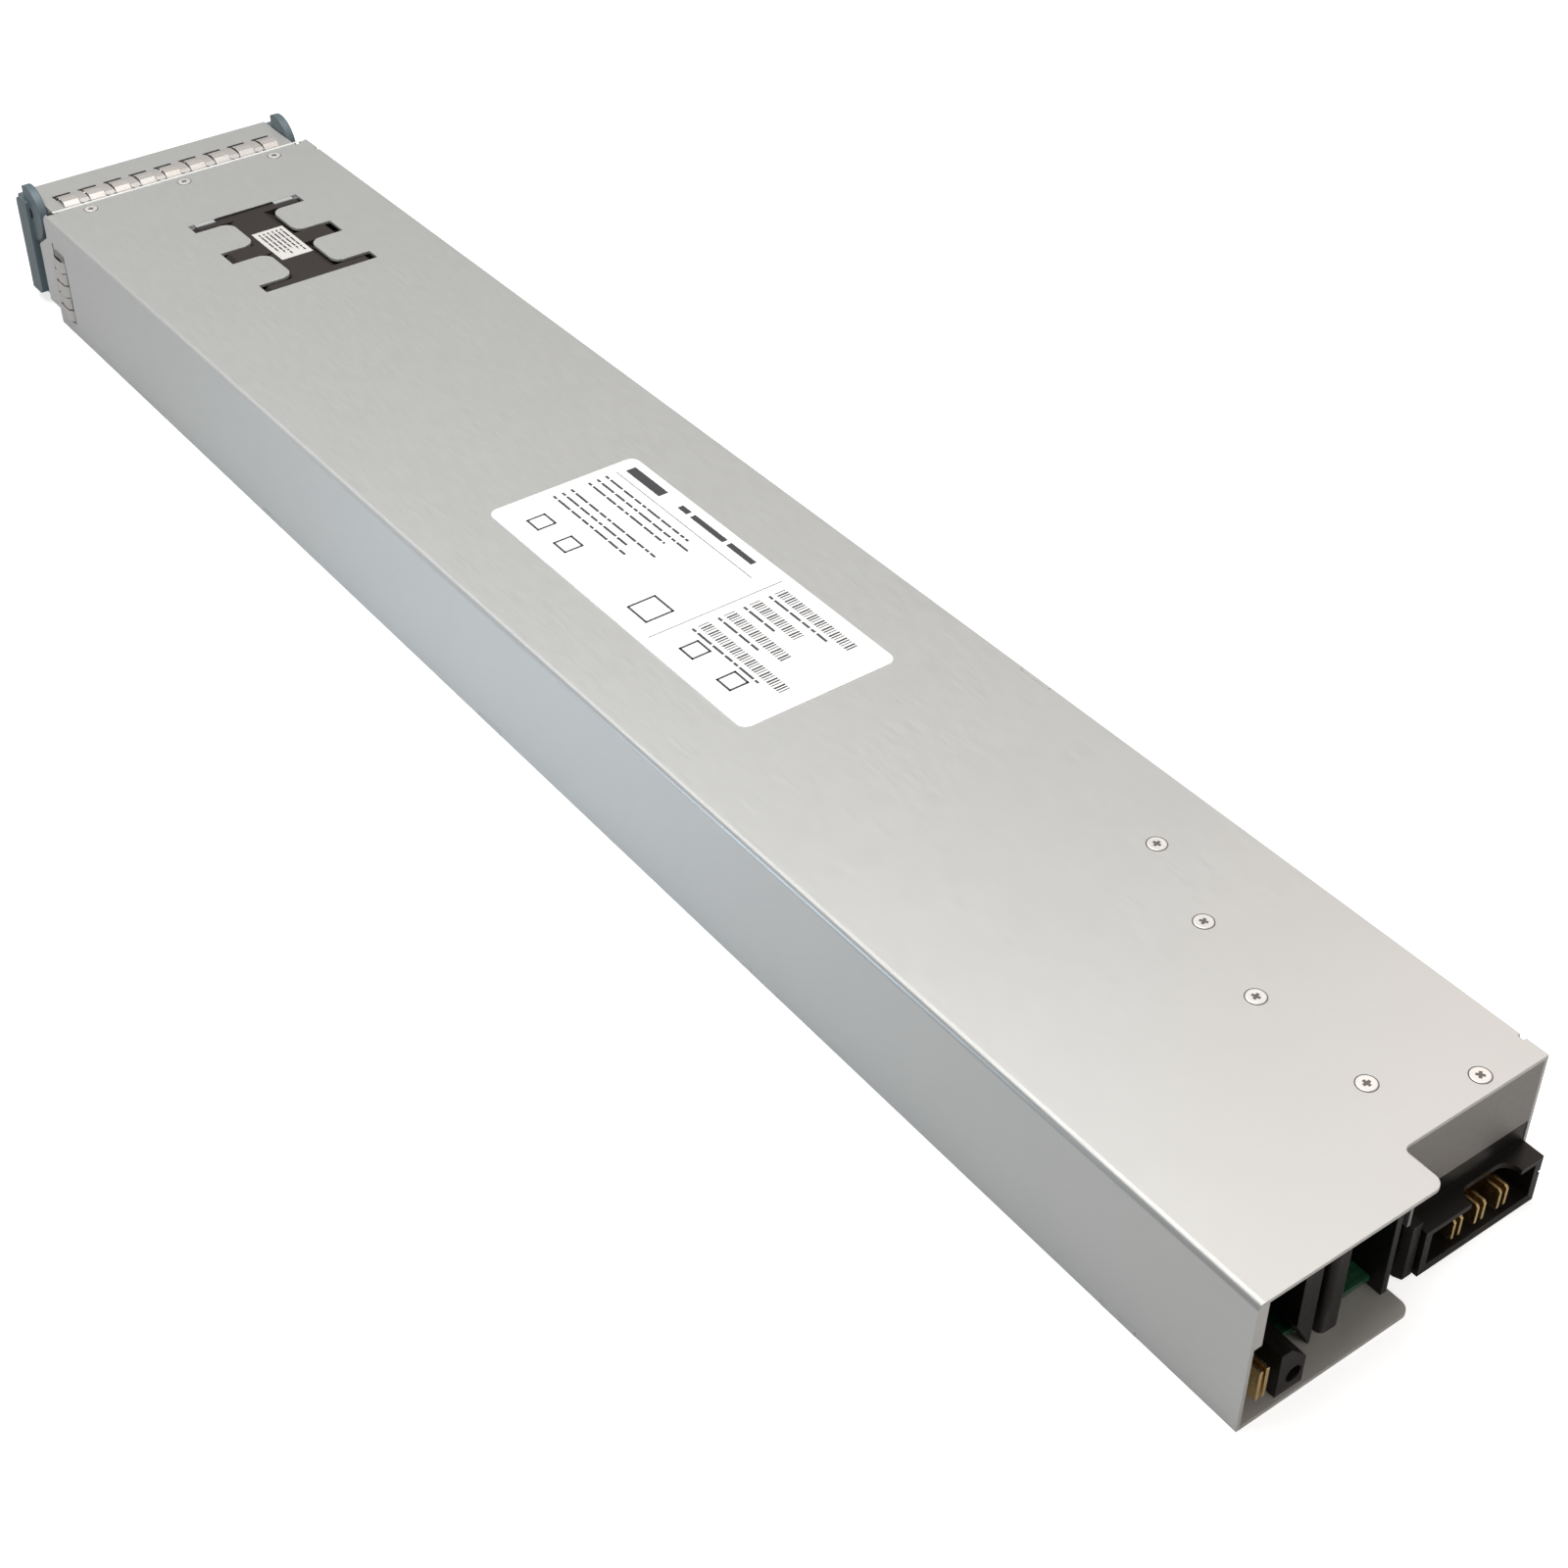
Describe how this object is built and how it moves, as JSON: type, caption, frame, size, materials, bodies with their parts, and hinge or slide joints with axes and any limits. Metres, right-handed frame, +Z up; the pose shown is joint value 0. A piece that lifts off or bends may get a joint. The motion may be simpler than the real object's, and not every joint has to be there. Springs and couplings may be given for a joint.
{
  "type": "server power supply",
  "caption": "Long, flat hot swap power supply module: folded steel case, swing-up bail handle, spring fingers, caged dual fan, and stepped rear end with input and output connectors.",
  "frame": {"origin": "centre of the footprint of the whole unit, on the surface that it lies on", "axes": "+Y runs along the unit from the handle end to the connector end, +Z is up, +X is the long plain side"},
  "size_m": [0.1028, 0.6316, 0.0448],
  "materials": {
    "casing_steel": "galvanised sheet steel, fine satin grain",
    "inner_steel": "galvanised sheet steel",
    "spring_metal": "tin-plated spring strip",
    "handle_grey": "fine textured slate grey coating",
    "screw_steel": "nickel-plated steel",
    "black_plastic": "moulded, slightly textured",
    "fan_plastic": "moulded, dark",
    "light_plastic": "translucent",
    "label_white": "matt coated label",
    "contact_gold": "gold-plated",
    "copper": "bare copper",
    "board_green": "solder mask",
    "can_sleeve": "shrunk sleeve",
    "can_metal": "drawn can",
    "core_ferrite": "pressed ferrite",
    "winding_enamel": "enamelled wire",
    "film_case": "moulded case",
    "sink_aluminium": "extruded",
    "spacer_brass": "turned",
    "motor_core": "stacked sheet"
  },
  "bodies": {
    "chassis": {"top_cover": "casing_steel", "base_tray": "casing_steel", "front_box": "casing_steel", "front_grille": "casing_steel", "screw_socket": "inner_steel", "status_lights": "light_plastic", "handle_pivot_pins": "screw_steel", "top_spring_fingers": "spring_metal", "left_spring_fingers": "spring_metal", "right_spring_fingers": "spring_metal", "rating_label": "label_white", "fan_label": "label_white", "fan_frame_front": "fan_plastic", "fan_frame_rear": "fan_plastic", "fan_motor_cores": "motor_core", "fan_bracket": "inner_steel", "rear_bulkhead": "casing_steel", "input_connector": "black_plastic", "input_blades": "contact_gold", "guide_post": "black_plastic", "partition_wall": "black_plastic", "output_housing": "black_plastic", "power_contacts": "copper", "guide_block": "black_plastic", "signal_contact": "contact_gold", "output_board": "board_green", "output_board_pads": "spacer_brass", "main_board": "board_green", "board_standoffs": "spacer_brass", "bulk_capacitors": "can_sleeve", "transformers": "core_ferrite", "boost_choke": "winding_enamel", "filter_choke": "winding_enamel", "film_capacitors": "film_case", "input_relay": "black_plastic", "output_chokes": "core_ferrite", "heatsinks": "sink_aluminium", "power_transistors": "black_plastic", "output_capacitors": "can_metal", "bus_bars": "copper", "control_card": "board_green"},
    "handle": {"handle": "handle_grey"},
    "captive_screw": {"captive_screw": "screw_steel"},
    "front_fan_rotor": {"fan_rotor_front": "fan_plastic"},
    "rear_fan_rotor": {"fan_rotor_rear": "fan_plastic"}
  },
  "joints": [
    {"name": "handle_swing", "type": "hinge", "parent": "chassis", "child": "handle", "pos_m": [0, -0.28255, 0.0352], "axis": [-1, 0, 0], "range_deg": [0, 75]},
    {"name": "captive_screw_travel", "type": "slide", "parent": "handle", "child": "captive_screw", "axis": [0, 1, 0], "range_m": [0, 0.0048]},
    {"name": "front_rotor_spin", "type": "hinge", "parent": "chassis", "child": "front_fan_rotor", "pos_m": [-0.0063, -0.21785, 0.0204], "axis": [0, 1, 0], "continuous": true},
    {"name": "rear_rotor_spin", "type": "hinge", "parent": "chassis", "child": "rear_fan_rotor", "pos_m": [-0.0063, -0.18585, 0.0204], "axis": [0, 1, 0], "continuous": true}
  ]
}
